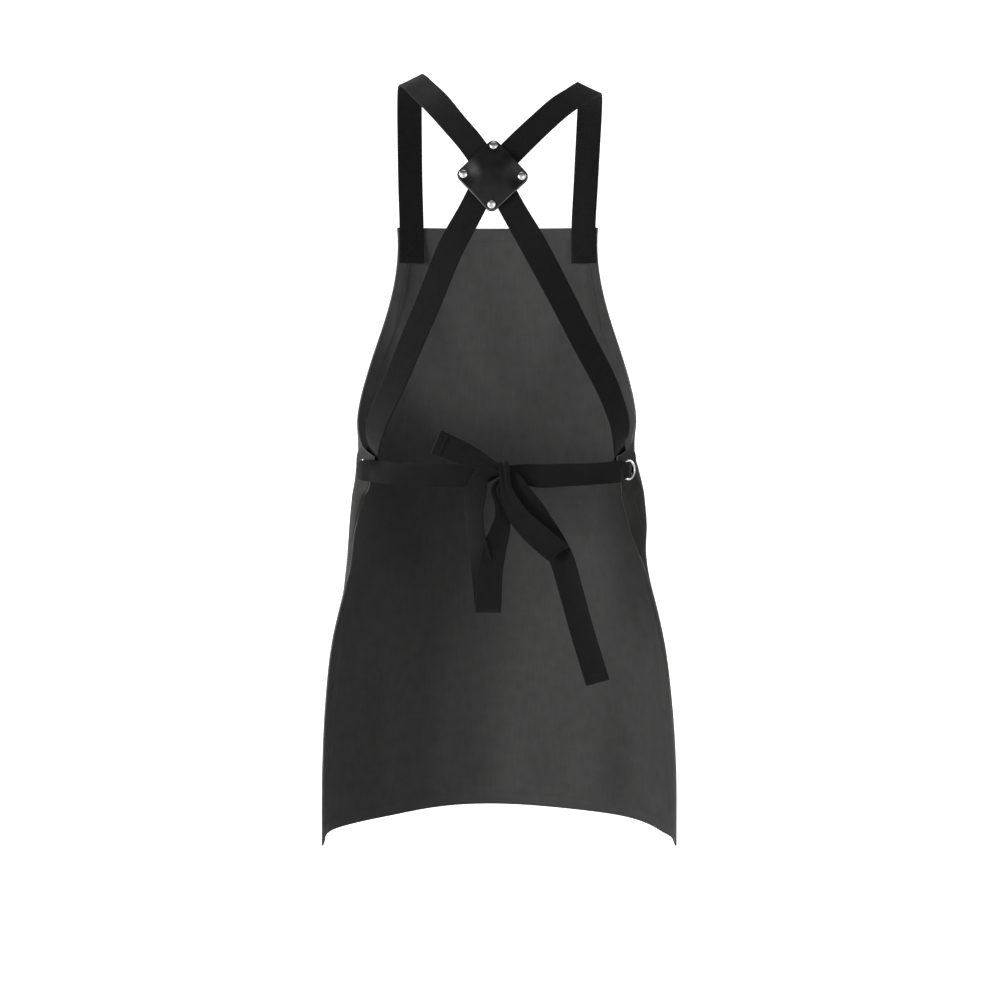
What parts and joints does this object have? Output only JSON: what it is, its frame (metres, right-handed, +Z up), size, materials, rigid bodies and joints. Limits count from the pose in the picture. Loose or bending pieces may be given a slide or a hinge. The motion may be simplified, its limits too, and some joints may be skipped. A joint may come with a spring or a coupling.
{
  "type": "barber apron",
  "caption": "Bib apron of heavy cloth with webbing straps crossed under a riveted leather patch on the back, run through side rings and tied in a bow at the waist.",
  "frame": {"origin": "midway between the two places where the straps rest on the shoulders", "axes": "+X to the wearer's right, +Y the way the wearer faces, +Z up"},
  "size_m": [0.4316, 0.2996, 0.9255],
  "materials": {
    "cloth": "matt charcoal canvas",
    "webbing": "matt black webbing",
    "leather": "black leather with a low sheen",
    "nickel": "bright nickel"
  },
  "bodies": {
    "root": {"apron_panel": "cloth", "strap_left": "webbing", "strap_right": "webbing", "patch_outer": "leather", "patch_inner": "leather", "rivet_top": "nickel", "rivet_right": "nickel", "rivet_bottom": "nickel", "rivet_left": "nickel", "grommet_left": "nickel", "grommet_right": "nickel"}
  },
  "joints": []
}
